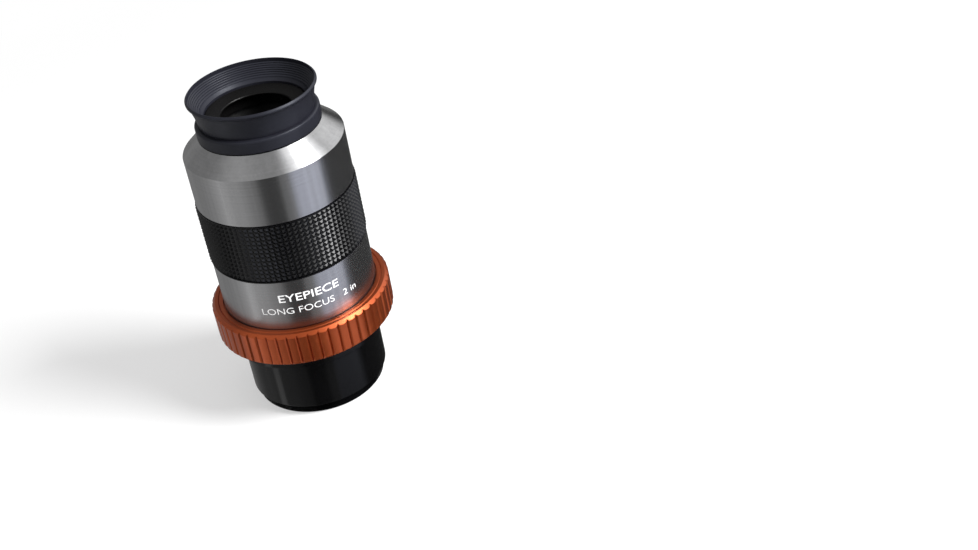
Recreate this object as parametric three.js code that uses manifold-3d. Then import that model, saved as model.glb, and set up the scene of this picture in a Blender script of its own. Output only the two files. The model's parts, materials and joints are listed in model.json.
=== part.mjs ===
// A 2-inch long-focus telescope eyepiece, seated in the twist-lock holder that clamps it.
// Millimetres, +Z up along the optical axis, towards the eye. The origin is the centre of the
// lower end of the holder's threaded spigot. Everything is turned about +Z unless it says otherwise.
import * as THREE from "three";
import Module from "manifold-3d";
import { mergeVertices } from "three/addons/utils/BufferGeometryUtils.js";

// ---------- driving dimensions ----------
const BODY_R = 31; // silver housings
const BARREL_R = 25.4; // the 2-inch nosepiece, 50.8 mm across
const TUBE_R = 28; // holder tube
const RING_R = 36.2; // lock ring, over its ribs
const GAP = 0.3; // clearance between neighbouring pieces
const GLASS_GAP = 0.1; // cement line and seats of the glass

// heights of the faces along the axis
const SEAT_Z = 4.5; // the holder's shoulder, on the telescope side
const RING_Z = 32;
const RING_HEIGHT = 14;
const RING_TOP = RING_Z + RING_HEIGHT;
const SHOULDER_Z = RING_TOP - 1; // underside of the eyepiece's housing, sunk 1 mm in the lock ring
const GRIP_Z = 67.7;
const GRIP_HEIGHT = 25;
const GRIP_TOP = GRIP_Z + GRIP_HEIGHT;
const CONE_Z = 112.5; // where the cone starts
const CONE_TOP = 119;
const CONE_TOP_R = 23.7;
const RIM_TOP = 135.1;

const RIBS = 54; // ribs round the lock ring
const RIB_DEPTH = 0.6;
const TWIST_DEG = 40; // lock ring's travel from locked to open

const OUTER_SEGMENTS = 40;
const INNER_SEGMENTS = 30;
const ARC_STEPS = 4; // straight pieces in the arc of a lens surface

// ---------- materials ----------
const finish = (color, roughness, metalness) =>
  new THREE.MeshStandardMaterial({ color, roughness, metalness });
const SILVER = finish(0xb4b4b6, 0.3, 1);
const CHROME = finish(0xd0d0d4, 0.12, 1);
const ORANGE = finish(0xa8431b, 0.38, 0.8);
const GLOSS_BLACK = finish(0x0c0c0e, 0.15, 0.5);
const MATT_BLACK = finish(0x131315, 0.6, 0.2);
const GRIP_BLACK = finish(0x121214, 0.35, 0.1);
const RUBBER = finish(0x2a2a2f, 0.75, 0);
const BRASS = finish(0xb08a3c, 0.3, 1);
const STEEL = finish(0x9a9a9d, 0.3, 1);
const NYLON = finish(0xd9d6cc, 0.5, 0);
const GLASS = finish(0x9fb6b0, 0.03, 0);

// ---------- shape helpers ----------
// A body of revolution from a closed loop of [radius, z] points, given anticlockwise
// (up the outside, down the inside).
function turned(loop, segments = OUTER_SEGMENTS) {
  const closed = loop[0][0] === 0 ? loop : [...loop, loop[0]];
  const points = closed.map(([r, z]) => new THREE.Vector2(r, z));
  return new THREE.LatheGeometry(points, segments).rotateX(Math.PI / 2);
}

const rect = (r0, r1, z0, z1) => [
  [r0, z0],
  [r1, z0],
  [r1, z1],
  [r0, z1],
];

// Height of a spherical surface of radius R at distance r from the axis, above its vertex.
const sag = (R, r) => R - Math.sqrt(R * R - r * r);

// Points across a spherical surface from the axis to the edge. bulge is +1 when the edge lies
// above the vertex.
function surface(R, edge, vertexZ, bulge) {
  return Array.from({ length: ARC_STEPS + 1 }, (_, i) => {
    const r = (edge * i) / ARC_STEPS;
    return [r, vertexZ + bulge * sag(R, r)];
  });
}

// A lens element from its lower surface (axis to edge) and its upper surface (axis to edge).
const lens = (lower, upper) => turned([...lower, ...upper.reverse()], INNER_SEGMENTS);

const wasm = await Module();
wasm.setup();

function toSolid(geometry) {
  const g = geometry.clone().deleteAttribute("normal").deleteAttribute("uv");
  const merged = mergeVertices(g, 1e-4);
  return new wasm.Manifold(
    new wasm.Mesh({
      numProp: 3,
      vertProperties: new Float32Array(merged.attributes.position.array),
      triVerts: new Uint32Array(merged.index.array),
    }),
  );
}

function toGeometry(solid) {
  const m = solid.getMesh();
  return new THREE.BufferGeometry()
    .setAttribute("position", new THREE.BufferAttribute(m.vertProperties, 3))
    .setIndex(new THREE.BufferAttribute(m.triVerts, 1));
}

const cut = (geometry, ...tools) =>
  toGeometry(tools.reduce((s, t) => s.subtract(toSolid(t)), toSolid(geometry)));

// A plain cylinder lying along +X.
const rodX = (r, x0, x1, z, sides = 16) =>
  new THREE.CylinderGeometry(r, r, x1 - x0, sides)
    .rotateZ(Math.PI / 2)
    .translate((x0 + x1) / 2, 0, z);

const boxAt = (w, d, h, x, y, z) => new THREE.BoxGeometry(w, d, h).translate(x, y, z);

// A flat arc-shaped block between two radii and two angles, from z0 to z1.
function arcBlock(r0, r1, a0, a1, z0, z1) {
  const shape = new THREE.Shape();
  shape.absarc(0, 0, r1, a0, a1, false);
  shape.absarc(0, 0, r0, a1, a0, true);
  const settings = { depth: z1 - z0, bevelEnabled: false, curveSegments: 12 };
  return new THREE.ExtrudeGeometry(shape, settings).translate(0, 0, z0);
}

// ---------- the twist-lock holder ----------
const BORE_R = BARREL_R + GAP;
const HEAD_R = 30.4; // thickened top of the tube, inside the lock ring
const HEAD_Z = RING_Z + 1.6 + GAP;
const HEAD_TOP = HEAD_Z + 5.5;
const SPIGOT_R = 26.5;
const STOP_LEDGE_R = 24.2; // ledge below the bore, which stops a long nosepiece
const TAPER = { low: [27, HEAD_Z + 0.7], high: [28.9, HEAD_TOP] }; // the collet's conical seat
const PIN_Z = HEAD_Z + 3.4;
const PIN_R = 1;

function holderTube() {
  const body = turned([
    [STOP_LEDGE_R, 0],
    [SPIGOT_R - GAP, 0],
    [SPIGOT_R, 0.3],
    [SPIGOT_R, SEAT_Z - 0.9],
    [SPIGOT_R - 0.5, SEAT_Z - 0.5],
    [SPIGOT_R - 0.5, SEAT_Z],
    [TUBE_R - 0.3, SEAT_Z],
    [TUBE_R, SEAT_Z + 0.3],
    [TUBE_R, HEAD_Z],
    [HEAD_R, HEAD_Z],
    [HEAD_R, HEAD_TOP],
    TAPER.high,
    TAPER.low,
    [BORE_R, HEAD_Z + 0.5],
    [BORE_R, 6.8],
    [STOP_LEDGE_R, 6],
  ]);
  return cut(body, rodX(PIN_R + 0.2, 28.7, HEAD_R + 1, PIN_Z));
}

const stopPin = () => rodX(PIN_R, 28.9, HEAD_R + 1.8, PIN_Z);

const NUT_R = 31.8;
const NUT_HEIGHT = 5.1;
const NUT_TOP = RING_Z - GAP;
const NUT_Z = NUT_TOP - NUT_HEIGHT;

const retainingNut = () =>
  turned([
    [TUBE_R + GAP, NUT_Z],
    [NUT_R - 0.6, NUT_Z],
    [NUT_R, NUT_Z + 0.6],
    [NUT_R, NUT_TOP],
    [TUBE_R + GAP, NUT_TOP],
  ]);

// Split brass ring: its outside is tapered, so it closes on the nosepiece when it is pressed down.
function compressionCollet() {
  const bottom = HEAD_Z + 1;
  const top = HEAD_TOP + 0.5;
  const ring = turned([
    [BORE_R, bottom],
    [26.75, bottom],
    [28.5, top - 0.4],
    [28.5, top],
    [BORE_R, top],
  ]);
  return cut(ring, boxAt(6, 3, 12, -27, 0, (bottom + top) / 2));
}

const PRESSURE_Z = HEAD_TOP + 0.8;
const pressureRing = () => turned(rect(BARREL_R + 0.5, HEAD_R - 0.1, PRESSURE_Z, PRESSURE_Z + 1.6));

const FLANGE_Z = PRESSURE_Z + 2.6; // underside of the lock ring's inner flange
const RECESS_R = BODY_R + 0.4; // recess that the eyepiece's housing sinks into

function lockRing() {
  const cavity = HEAD_R + 0.4;
  const loop = [
    [TUBE_R + GAP, RING_Z],
    [RING_R - 0.8, RING_Z],
    [RING_R, RING_Z + 0.8],
    [RING_R, RING_TOP - 1.2],
    [RING_R - 1.2, RING_TOP],
    [RECESS_R, RING_TOP],
    [RECESS_R, SHOULDER_Z - GAP],
    [BARREL_R + 0.8, SHOULDER_Z - GAP],
    [BARREL_R + 0.8, FLANGE_Z],
    [cavity, FLANGE_Z],
    [cavity, HEAD_Z - GAP],
    [TUBE_R + GAP, HEAD_Z - GAP],
  ];
  const ribbed = ribs(turned(loop, RIBS * 3));
  const open = THREE.MathUtils.degToRad(-TWIST_DEG - 3);
  const shut = THREE.MathUtils.degToRad(3);
  return cut(ribbed, arcBlock(cavity - 0.5, cavity + 2, open, shut, PIN_Z - 1.4, PIN_Z + 1.4));
}

// Pulls every third column of the ring's outer wall inwards, which leaves a groove between two ribs.
function ribs(geometry) {
  const p = geometry.attributes.position;
  const step = (2 * Math.PI) / (RIBS * 3);
  for (let i = 0; i < p.count; i++) {
    const r = Math.hypot(p.getX(i), p.getY(i));
    const column = Math.round(Math.atan2(p.getY(i), p.getX(i)) / step + RIBS * 3) % 3;
    if (column !== 0 || r < RING_R - 1.5) continue;
    const k = (r - RIB_DEPTH) / r;
    p.setXY(i, p.getX(i) * k, p.getY(i) * k);
  }
  return geometry;
}

// ---------- the nosepiece ----------
const NOSE_Z = 9.5; // its free end
const UNDERCUT = { low: 19, high: 30, depth: 0.5 }; // safety undercut
const NOSE_BORE_R = 23.4;
const FILTER_BORE_R = 23.8; // filter thread in the free end
const THREAD_R = 24.6; // thread that screws into the housing
const THREAD_TOP = SHOULDER_Z + 5.4;

const nosepiece = () =>
  turned([
    [FILTER_BORE_R, NOSE_Z],
    [BARREL_R - 0.4, NOSE_Z],
    [BARREL_R, NOSE_Z + 0.5],
    [BARREL_R, UNDERCUT.low - UNDERCUT.depth],
    [BARREL_R - UNDERCUT.depth, UNDERCUT.low],
    [BARREL_R - UNDERCUT.depth, UNDERCUT.high],
    [BARREL_R, UNDERCUT.high + UNDERCUT.depth],
    [BARREL_R, SHOULDER_Z - GAP],
    [THREAD_R, SHOULDER_Z - GAP],
    [THREAD_R, THREAD_TOP],
    [NOSE_BORE_R, THREAD_TOP],
    [NOSE_BORE_R, NOSE_Z + 5],
    [FILTER_BORE_R, NOSE_Z + 4.6],
  ]);

const fieldStop = () =>
  turned(
    [
      [22.1, SHOULDER_Z + 3],
      [NOSE_BORE_R - GAP, SHOULDER_Z + 2],
      [NOSE_BORE_R - GAP, SHOULDER_Z + 4],
      [22.6, SHOULDER_Z + 4],
    ],
    INNER_SEGMENTS,
  );

// ---------- the eyepiece's housings ----------
const JOINT_Z = 67.5; // where the two housings meet, under the grip's lower edge
const CUP_BORE_R = 28.6; // bore of the lower housing, which takes the upper one's thread
const CELL_BORE_R = 26.3;
const GRIP_SEAT_R = 29.2;
const NECK_R = 21.6;
const NECK_TOP = 123.6;
const NECK_BORE_R = 18.2;

const lowerHousing = () =>
  turned([
    [THREAD_R + GAP, SHOULDER_Z],
    [BODY_R - 0.5, SHOULDER_Z],
    [BODY_R, SHOULDER_Z + 0.5],
    [BODY_R, JOINT_Z],
    [CUP_BORE_R, JOINT_Z],
    [CUP_BORE_R, THREAD_TOP + 0.2],
    [THREAD_R + GAP, THREAD_TOP + 0.2],
  ]);

const upperHousing = () =>
  turned([
    [CELL_BORE_R, 58],
    [CUP_BORE_R - GAP, 58],
    [CUP_BORE_R - GAP, JOINT_Z + GAP],
    [GRIP_SEAT_R, JOINT_Z + GAP],
    [GRIP_SEAT_R, GRIP_TOP + GAP],
    [BODY_R, GRIP_TOP + GAP],
    [BODY_R, CONE_Z],
    [CONE_TOP_R, CONE_TOP],
    [NECK_R, CONE_TOP],
    [NECK_R, NECK_TOP],
    [NECK_BORE_R, NECK_TOP],
    [NECK_BORE_R, CONE_Z - 0.5],
    [CELL_BORE_R, CONE_Z - 0.5],
  ]);

const gripSleeve = () => turned(rect(GRIP_SEAT_R + GAP, BODY_R + 0.6, GRIP_Z + 0.1, GRIP_TOP));

// ---------- the optics: two cemented pairs with their crowns facing each other ----------
const LENS_R = 22;
const CEMENT_R = 50; // radius of the cemented surfaces
const CROWN_R = 60; // radius of the surfaces that face each other
const FLINT_THICK = 2.5; // at the axis
const CROWN_EDGE = 1.2;
const PAIR_GAP = 0.6; // between the two crowns, on the axis
const EYE_GLASS_TOP = 109.2;

const cementSag = sag(CEMENT_R, LENS_R);
const crownSag = sag(CROWN_R, LENS_R);
const pairHeight = FLINT_THICK + GLASS_GAP + cementSag + CROWN_EDGE + crownSag;
const CROWNS_MEET = EYE_GLASS_TOP - pairHeight - PAIR_GAP / 2; // mid-plane of the optics

// side +1 is the eye side and -1 the field side, mirrored in the mid-plane.
function flint(side) {
  const outer = CROWNS_MEET + side * (PAIR_GAP / 2 + pairHeight);
  const flat = [
    [0, outer],
    [LENS_R, outer],
  ];
  const hollow = surface(CEMENT_R, LENS_R, outer - side * FLINT_THICK, -side);
  return side > 0 ? lens(hollow, flat) : lens(flat, hollow);
}

function crown(side) {
  const inner = surface(CROWN_R, LENS_R, CROWNS_MEET + (side * PAIR_GAP) / 2, side);
  const cementZ = CROWNS_MEET + side * (PAIR_GAP / 2 + pairHeight - FLINT_THICK - GLASS_GAP);
  const cement = surface(CEMENT_R, LENS_R, cementZ, -side);
  return side > 0 ? lens(inner, cement) : lens(cement, inner);
}

const CELL_R = 26;
const CELL_SEAT_R = LENS_R + GAP;
const GLASS_BOTTOM = 2 * CROWNS_MEET - EYE_GLASS_TOP;

const lensCell = () =>
  turned(
    [
      [CELL_SEAT_R, GLASS_BOTTOM - 4],
      [CELL_R, GLASS_BOTTOM - 4],
      [CELL_R, CONE_Z - 0.8],
      [20.5, CONE_Z - 0.8],
      [20.5, EYE_GLASS_TOP + GLASS_GAP],
      [CELL_SEAT_R, EYE_GLASS_TOP + GLASS_GAP],
    ],
    INNER_SEGMENTS,
  );

const lensSpacer = () =>
  turned(rect(20.6, LENS_R, CROWNS_MEET - 3.7, CROWNS_MEET + 3.7), INNER_SEGMENTS);

function lensRetainingRing() {
  const top = GLASS_BOTTOM - 0.2;
  const ring = turned(rect(20.2, LENS_R, top - 3, top), INNER_SEGMENTS);
  return cut(ring, boxAt(50, 2, 2, 0, 0, top - 3)); // spanner slots across its lower face
}

// Black dished ring round the eye opening, at the bottom of the eyecup.
const EYE_OPENING_R = 13.5;
const STOP_RING_R = 19.1;
const STOP_RING_TOP = 126.8;
const eyeStopRing = () =>
  turned([
    [NECK_BORE_R - 1.6, 119.5],
    [NECK_BORE_R - GAP, 119.5],
    [NECK_BORE_R - GAP, NECK_TOP + GAP],
    [STOP_RING_R, NECK_TOP + GAP],
    [STOP_RING_R, STOP_RING_TOP],
    [STOP_RING_R - 0.5, STOP_RING_TOP],
    [EYE_OPENING_R + 0.3, 125.7],
    [EYE_OPENING_R, 125.4],
    [EYE_OPENING_R + 0.4, 124.8],
    [NECK_BORE_R - 1.6, 124.2],
  ]);

// ---------- the rubber eyecup: one moulding, split where it folds ----------
const BAND_R = 23.8;
const BAND_TOP = 124.5;
const RIM_R = 24.8;

const eyecupBand = () =>
  turned([
    [NECK_R + GAP, CONE_TOP + 0.3],
    [BAND_R - 0.2, CONE_TOP + 0.3],
    [BAND_R, CONE_TOP + 0.6],
    [BAND_R, BAND_TOP - 0.8],
    [BAND_R - 0.7, BAND_TOP],
    [NECK_R + GAP, BAND_TOP],
  ]);

const eyecupFunnel = () =>
  turned([
    [STOP_RING_R + GAP, BAND_TOP + GAP],
    [22.6, BAND_TOP + GAP],
    [23.3, 129.5],
    [23.9, 133],
    [23.1, 133],
    [20.5, 128.7],
    [STOP_RING_R + GAP, STOP_RING_TOP + 0.2],
  ]);

const eyecupRim = () =>
  turned([
    [24.1, 133.3],
    [RIM_R - 0.2, 133.3],
    [RIM_R, 133.8],
    [RIM_R, RIM_TOP - 0.3],
    [RIM_R - 0.3, RIM_TOP],
    [24.1, RIM_TOP],
  ]);

// ---------- the assembly ----------
const part = new THREE.Group();
const add = (group, name, geometry, material) => {
  const mesh = new THREE.Mesh(geometry, material);
  mesh.name = name;
  group.add(mesh);
};

const holder = new THREE.Group();
add(holder, "holder_tube", holderTube(), GLOSS_BLACK);
add(holder, "ring_stop_pin", stopPin(), STEEL);
add(holder, "ring_retaining_nut", retainingNut(), GLOSS_BLACK);
add(holder, "lock_ring", lockRing(), ORANGE);
add(holder, "pressure_ring", pressureRing(), NYLON);
add(holder, "compression_collet", compressionCollet(), BRASS);

const eyepiece = new THREE.Group();
add(eyepiece, "nosepiece_barrel", nosepiece(), CHROME);
add(eyepiece, "field_stop", fieldStop(), MATT_BLACK);
add(eyepiece, "lower_housing", lowerHousing(), SILVER);
add(eyepiece, "upper_housing", upperHousing(), SILVER);
add(eyepiece, "grip_sleeve", gripSleeve(), GRIP_BLACK);
add(eyepiece, "lens_cell", lensCell(), MATT_BLACK);
add(eyepiece, "eye_flint_lens", flint(1), GLASS);
add(eyepiece, "eye_crown_lens", crown(1), GLASS);
add(eyepiece, "lens_spacer", lensSpacer(), MATT_BLACK);
add(eyepiece, "field_crown_lens", crown(-1), GLASS);
add(eyepiece, "field_flint_lens", flint(-1), GLASS);
add(eyepiece, "lens_retaining_ring", lensRetainingRing(), MATT_BLACK);
add(eyepiece, "eye_stop_ring", eyeStopRing(), MATT_BLACK);
add(eyepiece, "eyecup_band", eyecupBand(), RUBBER);
add(eyepiece, "eyecup_funnel", eyecupFunnel(), RUBBER);
add(eyepiece, "eyecup_rim", eyecupRim(), RUBBER);

part.add(holder, eyepiece);

export default part;
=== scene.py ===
"""The looks of a telescope eyepiece in its twist-lock holder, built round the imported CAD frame.

Every piece is turned about +Z, like the CAD node that it stands for, and its main radii and
heights come from that node's box. Detail sizes are in millimetres, times MM.
"""

import json
import math
from collections import namedtuple

import bmesh
import bpy
from mathutils import Matrix, Vector

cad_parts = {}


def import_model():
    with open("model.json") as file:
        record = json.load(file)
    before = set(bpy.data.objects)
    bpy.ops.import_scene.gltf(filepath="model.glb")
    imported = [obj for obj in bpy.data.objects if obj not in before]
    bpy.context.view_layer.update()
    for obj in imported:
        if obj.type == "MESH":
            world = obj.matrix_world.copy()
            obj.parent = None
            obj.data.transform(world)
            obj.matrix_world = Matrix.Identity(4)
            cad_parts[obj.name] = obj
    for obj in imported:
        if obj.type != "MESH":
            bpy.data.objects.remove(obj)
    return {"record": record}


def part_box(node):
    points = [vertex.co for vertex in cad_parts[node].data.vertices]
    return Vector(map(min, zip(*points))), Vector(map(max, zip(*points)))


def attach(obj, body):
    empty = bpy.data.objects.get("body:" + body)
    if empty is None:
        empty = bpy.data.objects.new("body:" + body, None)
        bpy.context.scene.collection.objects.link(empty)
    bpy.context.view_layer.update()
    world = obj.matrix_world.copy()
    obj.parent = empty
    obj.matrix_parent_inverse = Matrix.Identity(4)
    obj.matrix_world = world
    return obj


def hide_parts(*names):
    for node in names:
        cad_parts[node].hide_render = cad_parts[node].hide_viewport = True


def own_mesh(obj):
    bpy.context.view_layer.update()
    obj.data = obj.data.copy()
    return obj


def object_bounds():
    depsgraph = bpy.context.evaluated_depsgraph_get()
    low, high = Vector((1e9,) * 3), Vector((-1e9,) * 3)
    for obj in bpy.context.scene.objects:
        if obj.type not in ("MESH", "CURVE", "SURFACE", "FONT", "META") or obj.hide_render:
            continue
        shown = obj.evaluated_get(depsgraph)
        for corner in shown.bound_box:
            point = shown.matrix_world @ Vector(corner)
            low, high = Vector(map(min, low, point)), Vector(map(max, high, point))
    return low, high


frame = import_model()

MM = 0.001
cad_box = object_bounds()

BODIES = frame["record"]["behaviour"]["bodies"]
BODY_OF = {node: body for body, nodes in BODIES.items() for node in nodes}


# ---------- sizes taken from the frame ----------
def radius(node):
    """Outer radius of a node that is turned about +Z."""
    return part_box(node)[1].y


def low(node):
    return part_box(node)[0].z


def high(node):
    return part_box(node)[1].z


BODY_R = radius("lower_housing")
BARREL_R = radius("nosepiece_barrel")
BORE_R = BARREL_R + 0.3 * MM
RING_R = radius("lock_ring")
HEAD_R = radius("holder_tube")
TUBE_R = HEAD_R - 2.4 * MM
RING_Z = low("lock_ring")
RING_TOP = high("lock_ring")
NECK_R = 21.6 * MM
FINE = 240  # columns round a visible turned piece
COARSE = 120  # columns round a hidden one
THREAD_PITCH = 0.75 * MM
PIN_LOW, PIN_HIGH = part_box("ring_stop_pin")
PIN_R = (PIN_HIGH.z - PIN_LOW.z) / 2
PIN_Z = (PIN_HIGH.z + PIN_LOW.z) / 2


# ---------- mesh building ----------
def new_object(name, mesh):
    piece = bpy.data.objects.new(name, mesh)
    bpy.context.scene.collection.objects.link(piece)
    return piece


def smooth(piece, angle=28):
    """Smooth shading, kept crisp at edges sharper than angle, with the flats truly flat."""
    piece.data.shade_smooth()
    piece.data.set_sharp_from_angle(angle=math.radians(angle))
    modifier = piece.modifiers.new("flats", "WEIGHTED_NORMAL")
    modifier.keep_sharp = True
    return piece


def rounded(corners, steps=4):
    """The loop of (radius, z, fillet) corners, each bent to its fillet. A fillet of 0 stays sharp."""
    loop = []
    for i, (r, z, fillet) in enumerate(corners):
        corner = Vector((r, z))
        if fillet == 0:
            loop.append(corner)
            continue
        before = (Vector(corners[i - 1][:2]) - corner).normalized()
        after = (Vector(corners[(i + 1) % len(corners)][:2]) - corner).normalized()
        reach = fillet / math.tan(before.angle(after) / 2)
        for k in range(steps + 1):
            t = k / steps
            start_pull = before * reach * (1 - t) ** 2
            end_pull = after * reach * t**2
            loop.append(corner + start_pull + end_pull)
    return loop


def even_angles(count):
    return [2 * math.pi * k / count for k in range(count)]


def turned_mesh(name, loop, angles, wall=None):
    """Mesh of revolution of a closed loop of (radius, z), up the outside and down the inside.
    wall(angle, radius), if given, is the radius that a corner takes at that angle."""
    mesh = bmesh.new()
    columns = []
    for angle in angles:
        across, away = math.cos(angle), math.sin(angle)
        ring = []
        for r, z in loop:
            reach = wall(angle, r) if wall else r
            ring.append(mesh.verts.new((reach * across, reach * away, z)))
        columns.append(ring)
    for j, column in enumerate(columns):
        beside = columns[(j + 1) % len(columns)]
        for i in range(len(loop)):
            k = (i + 1) % len(loop)
            mesh.faces.new((column[i], beside[i], beside[k], column[k]))
    bmesh.ops.remove_doubles(mesh, verts=mesh.verts, dist=1e-7)
    bmesh.ops.dissolve_degenerate(mesh, dist=1e-8, edges=mesh.edges)
    data = bpy.data.meshes.new(name)
    mesh.to_mesh(data)
    mesh.free()
    return data


def turned(name, corners, columns=FINE, steps=4):
    loop = rounded(corners, steps)
    return smooth(new_object(name, turned_mesh(name, loop, even_angles(columns))))


def square_section(node, bore, fillet):
    """Corners of a plain ring that fills a node's box."""
    bottom, top, r = low(node), high(node), radius(node)
    return [(bore, bottom, fillet), (r, bottom, fillet), (r, top, fillet), (bore, top, fillet)]


def box_tool(size, centre):
    """A plain block used only to cut with."""
    mesh = bmesh.new()
    bmesh.ops.create_cube(mesh, size=1)
    bmesh.ops.scale(mesh, vec=size, verts=mesh.verts)
    bmesh.ops.translate(mesh, vec=centre, verts=mesh.verts)
    data = bpy.data.meshes.new("tool")
    mesh.to_mesh(data)
    mesh.free()
    return new_object("tool", data)


def rod_mesh(name, r, x0, x1, z, fillet, sides=48):
    """A cylinder along +X with rounded ends."""
    loop = rounded([(0, x0, 0), (r, x0, fillet), (r, x1, fillet), (0, x1, 0)])
    data = turned_mesh(name, loop, even_angles(sides))
    data.transform(Matrix.Translation((0, 0, z)) @ Matrix.Rotation(math.pi / 2, 4, "Y"))
    return data


def cut(piece, *tools):
    """Takes the tools away from the piece's mesh."""
    for tool in tools:
        modifier = piece.modifiers.new("cut", "BOOLEAN")
        modifier.operation = "DIFFERENCE"
        modifier.object = tool
        modifier.solver = "EXACT"
    flats = piece.modifiers.get("flats")
    if flats:
        piece.modifiers.remove(flats)
    evaluated = piece.evaluated_get(bpy.context.evaluated_depsgraph_get())
    mesh = bpy.data.meshes.new_from_object(evaluated)
    piece.modifiers.clear()
    piece.data = mesh
    for tool in tools:
        bpy.data.objects.remove(tool)
    return smooth(piece)


def stand_for(piece, node, look):
    """The piece takes a CAD node's place and body, and gets its look."""
    piece.data.materials.clear()
    piece.data.materials.append(look)
    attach(piece, BODY_OF[node])
    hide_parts(node)
    return piece


# ---------- materials ----------
def shader(tree, kind, inputs=None, **settings):
    """Adds a shader node. inputs maps a socket's name or number to a value, or to another node's
    output."""
    node = tree.nodes.new("ShaderNode" + kind)
    for key, value in settings.items():
        setattr(node, key, value)
    for key, value in (inputs or {}).items():
        if isinstance(value, bpy.types.NodeSocket):
            tree.links.new(value, node.inputs[key])
        else:
            node.inputs[key].default_value = value
    return node


def stretched(tree, scale):
    """Object coordinates, scaled along each axis."""
    place = shader(tree, "TexCoord").outputs["Object"]
    return shader(tree, "VectorMath", {0: place, 1: scale}, operation="MULTIPLY").outputs[0]


USUAL_NOISE = (0.3, 0.7)  # most of a noise's values lie between these


def noise(tree, scale, detail=3.0, roughness=0.55):
    """Noise from 0 to 1, with scale in features per metre along each axis."""
    inputs = {"Vector": stretched(tree, scale), "Scale": 1.0, "Detail": detail, "Roughness": roughness}
    return shader(tree, "TexNoise", inputs).outputs["Fac"]


def remap(tree, value, low_end, high_end, start=0.0, end=1.0):
    inputs = {"Value": value, "From Min": start, "From Max": end, "To Min": low_end, "To Max": high_end}
    return shader(tree, "MapRange", inputs).outputs["Result"]


def spread(tree, noise_value, low_end, high_end):
    """Stretches the usual values of a noise over a range."""
    return remap(tree, noise_value, low_end, high_end, *USUAL_NOISE)


def tint(tree, factor, start, end):
    """A colour between start and end, each given as (red, green, blue) or as a node's output."""
    mix = shader(tree, "Mix", data_type="RGBA")
    for name, value in (("Factor", factor), ("A", start), ("B", end)):
        socket = next(s for s in mix.inputs if s.name == name and s.enabled)
        if isinstance(value, bpy.types.NodeSocket):
            tree.links.new(value, socket)
        else:
            socket.default_value = value if name == "Factor" else (*value, 1)
    return next(s for s in mix.outputs if s.enabled)


def bump(tree, height, distance, strength=1.0):
    inputs = {"Height": height, "Distance": distance, "Strength": strength}
    return shader(tree, "Bump", inputs).outputs["Normal"]


def new_material(name):
    """A material and its tree, with a Principled shader still to be filled."""
    look = bpy.data.materials.new(name)
    look.use_nodes = True
    look.node_tree.nodes.clear()
    return look, look.node_tree


def surface(look, inputs):
    tree = look.node_tree
    principled = shader(tree, "BsdfPrincipled", inputs)
    shader(tree, "OutputMaterial", {"Surface": principled.outputs[0]})
    return look


def faces_axis(tree):
    """1 on surfaces that face the axis, such as bores, and 0 on the rest."""
    coordinates = shader(tree, "TexCoord").outputs
    level = {0: coordinates["Object"], 1: (1, 1, 0)}
    away = shader(tree, "VectorMath", level, operation="MULTIPLY").outputs[0]
    facing = shader(tree, "VectorMath", {0: coordinates["Normal"], 1: away}, operation="DOT_PRODUCT")
    inward = {0: facing.outputs["Value"], 1: -1e-4}  # clear of flat faces, where it is 0
    return shader(tree, "Math", inward, operation="LESS_THAN").outputs[0]


def turned_metal(name, dark, light, roughness, brushing):
    """Lathe-turned metal: fine rings round the axis, faint streaks along it, and a stretched highlight.
    Bores are blackened, as they are in optics."""
    look, tree = new_material(name)
    rings = noise(tree, (3, 3, 1400), detail=4)
    streaks = noise(tree, (420, 420, 3), detail=3)
    both = shader(tree, "Math", {0: rings, 1: streaks}, operation="ADD").outputs[0]
    colour = tint(tree, remap(tree, both, 0, 1, 0.6, 1.4), dark, light)
    rough = spread(tree, rings, roughness * 0.96, roughness * 1.04)
    blackened = faces_axis(tree)
    tangent = shader(tree, "Tangent", direction_type="RADIAL", axis="Z").outputs[0]
    inputs = {
        "Base Color": tint(tree, blackened, colour, (0.006, 0.006, 0.006)),
        "Metallic": remap(tree, blackened, 1, 0),
        "Roughness": remap(tree, blackened, rough, 0.5),
        "Anisotropic": brushing,
        "Anisotropic Rotation": 0.25,
        "Tangent": tangent,
    }
    return surface(look, inputs)


def anodised_orange():
    look, tree = new_material("orange anodised aluminium")
    grain = noise(tree, (2500, 2500, 2500), detail=3)
    cloud = noise(tree, (70, 70, 70), detail=2)
    colour = tint(tree, spread(tree, cloud, 0, 1), (0.60, 0.098, 0.016), (0.70, 0.122, 0.023))
    inputs = {
        "Base Color": colour,
        "Metallic": 0.92,
        "Roughness": spread(tree, grain, 0.28, 0.38),
        "Normal": bump(tree, grain, 0.003 * MM),
        "Coat Weight": 0.75,
        "Coat Roughness": 0.3,
    }
    return surface(look, inputs)


def gloss_black():
    look, tree = new_material("gloss black anodised aluminium")
    haze = noise(tree, (90, 90, 40), detail=4)
    orange_peel = noise(tree, (900, 900, 900), detail=2)
    inputs = {
        "Base Color": tint(tree, haze, (0.0012, 0.0012, 0.0014), (0.0022, 0.0022, 0.0024)),
        "Roughness": spread(tree, haze, 0.08, 0.13),
        "Specular IOR Level": 0.3,
        "Normal": bump(tree, orange_peel, 0.002 * MM),
    }
    return surface(look, inputs)


def matt_black():
    look, tree = new_material("matt black anodised aluminium")
    grain = noise(tree, (3000, 3000, 3000), detail=2)
    inputs = {
        "Base Color": tint(tree, grain, (0.002, 0.002, 0.002), (0.004, 0.0037, 0.0037)),
        "Roughness": spread(tree, grain, 0.26, 0.36),
        "Specular IOR Level": 0.24,
        "Normal": bump(tree, grain, 0.008 * MM),
    }
    return surface(look, inputs)


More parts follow.
